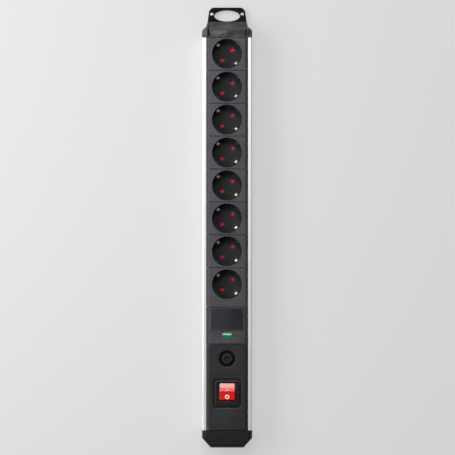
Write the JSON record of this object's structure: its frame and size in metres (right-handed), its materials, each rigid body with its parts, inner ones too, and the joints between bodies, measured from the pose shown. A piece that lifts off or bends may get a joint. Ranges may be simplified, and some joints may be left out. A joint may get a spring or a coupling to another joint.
{
  "type": "rack power strip",
  "caption": "Aluminium rack power strip with round earthed sockets turned 45 degrees, surge lamp, reset breaker, red rocker switch and a hanging eye.",
  "frame": {"origin": "middle of the footprint, on the plane of the strip's back", "axes": "+X across the strip, +Y along it towards the hanging eye, +Z out of the sockets"},
  "size_m": [0.067, 0.5916, 0.0469],
  "materials": {
    "aluminium": "satin anodised extrusion",
    "black_plastic": "fine moulded grain",
    "switch_plastic": "smooth moulded",
    "shutter_red": "moulded red",
    "rocker_red": "clear red moulding",
    "lamp_green": "clear green moulding",
    "brass": "stamped strip",
    "tinned_brass": "tinned spring strip",
    "zinc_steel": "bright zinc plated",
    "insulator": "grey moulded",
    "white_plastic": "white moulded",
    "board_green": "circuit board",
    "varistor_blue": "dipped epoxy",
    "rubber": "black bush",
    "brown_lead": "brown insulation",
    "blue_lead": "blue insulation",
    "earth_lead": "green and yellow insulation"
  },
  "bodies": {
    "strip": {"aluminium_channel": "aluminium", "socket_insert_1": "black_plastic", "socket_insert_2": "black_plastic", "socket_insert_3": "black_plastic", "socket_insert_4": "black_plastic", "socket_insert_5": "black_plastic", "socket_insert_6": "black_plastic", "socket_insert_7": "black_plastic", "socket_insert_8": "black_plastic", "surge_panel": "black_plastic", "label_plate": "black_plastic", "control_panel": "black_plastic", "head_cap": "black_plastic", "hanging_bracket": "black_plastic", "foot_cap": "black_plastic", "breaker_body": "switch_plastic", "breaker_nut": "switch_plastic", "switch_body": "switch_plastic", "lamp_lens": "lamp_green", "surge_led": "lamp_green", "line_busbar": "brass", "neutral_busbar": "brass", "breaker_terminal_1": "brass", "breaker_terminal_2": "brass", "switch_terminal_1": "brass", "switch_terminal_2": "brass", "switch_terminal_3": "brass", "switch_terminal_4": "brass", "earth_busbar": "tinned_brass", "fixing_screw_left": "zinc_steel", "fixing_screw_right": "zinc_steel", "head_screw_left": "zinc_steel", "head_screw_right": "zinc_steel", "foot_screw_left": "zinc_steel", "foot_screw_right": "zinc_steel", "contact_carrier": "insulator", "terminal_block": "white_plastic", "surge_board": "board_green", "varistor_1": "varistor_blue", "varistor_2": "varistor_blue", "varistor_3": "varistor_blue", "cord_grommet": "rubber", "live_supply_lead": "brown_lead", "switched_live_lead": "brown_lead", "breaker_lead": "brown_lead", "neutral_supply_lead": "blue_lead", "switched_neutral_lead": "blue_lead", "earth_lead": "earth_lead"},
    "rocker": {"rocker": "rocker_red"},
    "breaker_button": {"breaker_button": "switch_plastic"},
    "shutter_1": {"shutter_1": "shutter_red"},
    "shutter_2": {"shutter_2": "shutter_red"},
    "shutter_3": {"shutter_3": "shutter_red"},
    "shutter_4": {"shutter_4": "shutter_red"},
    "shutter_5": {"shutter_5": "shutter_red"},
    "shutter_6": {"shutter_6": "shutter_red"},
    "shutter_7": {"shutter_7": "shutter_red"},
    "shutter_8": {"shutter_8": "shutter_red"}
  },
  "joints": [
    {"name": "rocker_hinge", "type": "hinge", "parent": "strip", "child": "rocker", "pos_m": [0, -0.221, 0.04], "axis": [1, 0, 0], "range_deg": [0, 20]},
    {"name": "breaker_button_slide", "type": "slide", "parent": "strip", "child": "breaker_button", "axis": [0, 0, 1], "range_m": [0, 0.0035]},
    {"name": "shutter_1_swing", "type": "hinge", "parent": "strip", "child": "shutter_1", "pos_m": [0, 0.2307, 0.02235], "axis": [0, 0, 1], "range_deg": [0, 50], "stiffness_Nm_per_rad": 0.001},
    {"name": "shutter_2_swing", "type": "hinge", "parent": "strip", "child": "shutter_2", "pos_m": [0, 0.1867, 0.02235], "axis": [0, 0, 1], "range_deg": [0, 50], "stiffness_Nm_per_rad": 0.001},
    {"name": "shutter_3_swing", "type": "hinge", "parent": "strip", "child": "shutter_3", "pos_m": [0, 0.1427, 0.02235], "axis": [0, 0, 1], "range_deg": [0, 50], "stiffness_Nm_per_rad": 0.001},
    {"name": "shutter_4_swing", "type": "hinge", "parent": "strip", "child": "shutter_4", "pos_m": [0, 0.0987, 0.02235], "axis": [0, 0, 1], "range_deg": [0, 50], "stiffness_Nm_per_rad": 0.001},
    {"name": "shutter_5_swing", "type": "hinge", "parent": "strip", "child": "shutter_5", "pos_m": [0, 0.0547, 0.02235], "axis": [0, 0, 1], "range_deg": [0, 50], "stiffness_Nm_per_rad": 0.001},
    {"name": "shutter_6_swing", "type": "hinge", "parent": "strip", "child": "shutter_6", "pos_m": [0, 0.0107, 0.02235], "axis": [0, 0, 1], "range_deg": [0, 50], "stiffness_Nm_per_rad": 0.001},
    {"name": "shutter_7_swing", "type": "hinge", "parent": "strip", "child": "shutter_7", "pos_m": [0, -0.0333, 0.02235], "axis": [0, 0, 1], "range_deg": [0, 50], "stiffness_Nm_per_rad": 0.001},
    {"name": "shutter_8_swing", "type": "hinge", "parent": "strip", "child": "shutter_8", "pos_m": [0, -0.0773, 0.02235], "axis": [0, 0, 1], "range_deg": [0, 50], "stiffness_Nm_per_rad": 0.001}
  ]
}
